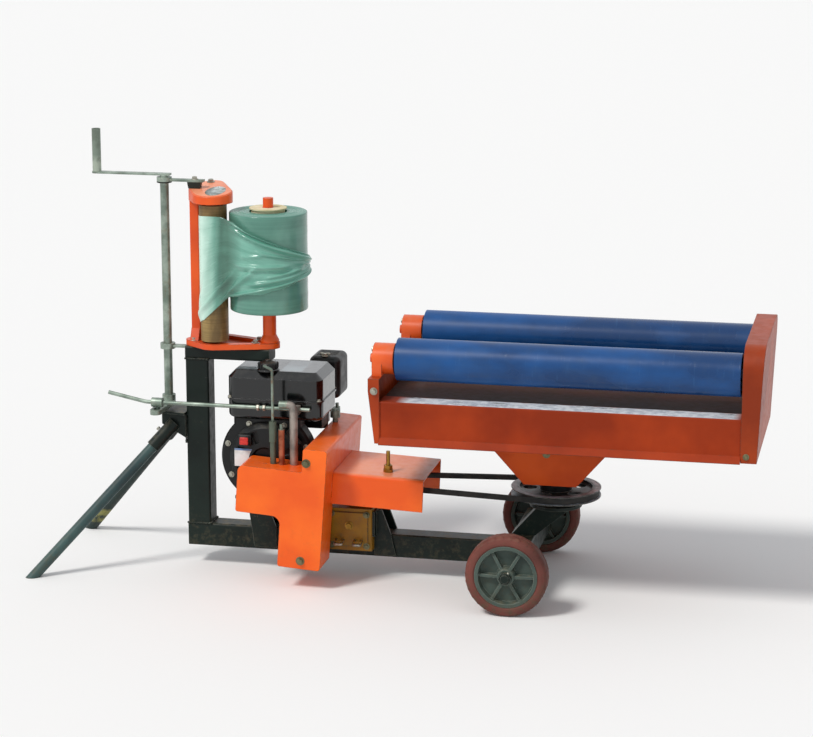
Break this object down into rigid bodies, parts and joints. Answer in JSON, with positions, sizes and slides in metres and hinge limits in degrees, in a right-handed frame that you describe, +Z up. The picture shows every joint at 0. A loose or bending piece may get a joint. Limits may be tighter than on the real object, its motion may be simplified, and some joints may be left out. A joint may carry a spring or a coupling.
{
  "type": "bale wrapper",
  "caption": "Towed bale wrapper with a tube chassis, a motor-driven turntable with two bale rollers, a film dispenser mast and a hand crank for the drive clutch.",
  "frame": {"origin": "on the ground, under the middle of the whole machine's box", "axes": "+X from the stand legs towards the turntable, +Y across the machine to its left side when looking along +X, +Z up"},
  "size_m": [1.8378, 0.614, 1.115],
  "materials": {
    "frame_green": "satin",
    "orange_paint": "satin",
    "leg_paint": "satin",
    "zinc_tube": "satin",
    "gearbox_yellow": "matte",
    "engine_black": "satin",
    "tank_black": "gloss",
    "black_plastic": "matte",
    "muffler_metal": "matte",
    "pulley_iron": "matte",
    "belt_rubber": "matte",
    "tyre_rubber": "matte",
    "hub_grey": "matte",
    "roller_blue": "satin",
    "film": "satin",
    "core_card": "matte",
    "stretch_roller_grey": "satin",
    "bolt_steel": "satin"
  },
  "bodies": {
    "chassis": {"base_beam": "frame_green", "mast_post": "frame_green", "mast_arm": "frame_green", "axle_beam": "frame_green", "turntable_pedestal": "frame_green", "drive_belt": "belt_rubber", "gearbox": "gearbox_yellow", "gearbox_bracket": "frame_green", "engine_bed": "frame_green", "engine_block": "engine_black", "fan_cowl": "engine_black", "recoil_starter": "black_plastic", "fuel_tank": "tank_black", "fuel_cap": "black_plastic", "air_cleaner": "black_plastic", "muffler": "muffler_metal", "drive_guard": "orange_paint", "guard_stays": "bolt_steel", "belt_guard": "orange_paint", "stop_pin": "bolt_steel", "control_tubes": "zinc_tube", "tension_lever": "zinc_tube", "stand_bracket": "frame_green", "stand_leg_near": "leg_paint", "stand_leg_far": "leg_paint", "dispenser_frame": "orange_paint", "gear_cap": "orange_paint", "roll_spindle": "orange_paint", "film_web": "film", "crank_straps": "zinc_tube"},
    "near_wheel": {"near_wheel_hub": "hub_grey", "near_wheel_tyre": "tyre_rubber"},
    "far_wheel": {"far_wheel_hub": "hub_grey", "far_wheel_tyre": "tyre_rubber"},
    "table": {"turntable_pulley": "pulley_iron", "table_pedestal": "orange_paint", "table_front_apron": "orange_paint", "table_rear_apron": "orange_paint", "table_floor": "orange_paint", "deck_plate": "orange_paint", "table_left_end": "orange_paint", "roller_bearings": "orange_paint", "chain_case": "orange_paint"},
    "front_roller": {"bale_roller_front": "roller_blue"},
    "rear_roller": {"bale_roller_rear": "roller_blue"},
    "film_reel": {"film_core": "core_card", "film_roll": "film"},
    "stretch_front": {"stretch_roller_front": "stretch_roller_grey"},
    "stretch_rear": {"stretch_roller_rear": "stretch_roller_grey"},
    "drive_wheel": {"drive_pulley": "pulley_iron"},
    "clutch_crank": {"crank_shaft": "zinc_tube", "crank_grip": "zinc_tube"},
    "clutch_link": {"clutch_rod": "zinc_tube"}
  },
  "joints": [
    {"name": "near_wheel_spin", "type": "hinge", "parent": "chassis", "child": "near_wheel", "pos_m": [0.32196, -0.267, 0.1], "axis": [0, 1, 0], "continuous": true},
    {"name": "far_wheel_spin", "type": "hinge", "parent": "chassis", "child": "far_wheel", "pos_m": [0.32196, 0.267, 0.1], "axis": [0, 1, 0], "continuous": true},
    {"name": "table_spin", "type": "hinge", "parent": "chassis", "child": "table", "pos_m": [0.39896, 0, 0.243], "axis": [0, 0, 1], "continuous": true},
    {"name": "front_roller_spin", "type": "hinge", "parent": "table", "child": "front_roller", "pos_m": [0.39896, -0.17, 0.598], "axis": [1, 0, 0], "continuous": true},
    {"name": "rear_roller_spin", "type": "hinge", "parent": "table", "child": "rear_roller", "pos_m": [0.39896, 0.17, 0.598], "axis": [1, 0, 0], "continuous": true},
    {"name": "film_reel_spin", "type": "hinge", "parent": "chassis", "child": "film_reel", "pos_m": [-0.33404, 0, 0.672], "axis": [0, 0, 1], "continuous": true},
    {"name": "stretch_front_spin", "type": "hinge", "parent": "chassis", "child": "stretch_front", "pos_m": [-0.46994, -0.024, 0.672], "axis": [0, 0, 1], "continuous": true},
    {"name": "stretch_rear_spin", "type": "hinge", "parent": "chassis", "child": "stretch_rear", "pos_m": [-0.48994, 0.04589, 0.672], "axis": [0, 0, 1], "continuous": true},
    {"name": "drive_wheel_spin", "type": "hinge", "parent": "chassis", "child": "drive_wheel", "pos_m": [-0.09104, 0, 0.243], "axis": [0, 0, 1], "continuous": true},
    {"name": "crank_turn", "type": "hinge", "parent": "chassis", "child": "clutch_crank", "pos_m": [-0.60204, 0, 0.425], "axis": [0, 0, 1], "range_deg": [-15, 15]},
    {"name": "rod_slide", "type": "slide", "parent": "chassis", "child": "clutch_link", "axis": [1, 0, 0], "range_m": [-0.02559, 0.02559]}
  ],
  "couplings": [
    {"joint": "rear_roller_spin", "follows": "front_roller_spin", "ratio": 1},
    {"joint": "stretch_rear_spin", "follows": "stretch_front_spin", "ratio": -1.1667},
    {"joint": "drive_wheel_spin", "follows": "table_spin", "ratio": 2.1225},
    {"joint": "rod_slide", "follows": "crank_turn", "m_per_rad": 0.097}
  ]
}
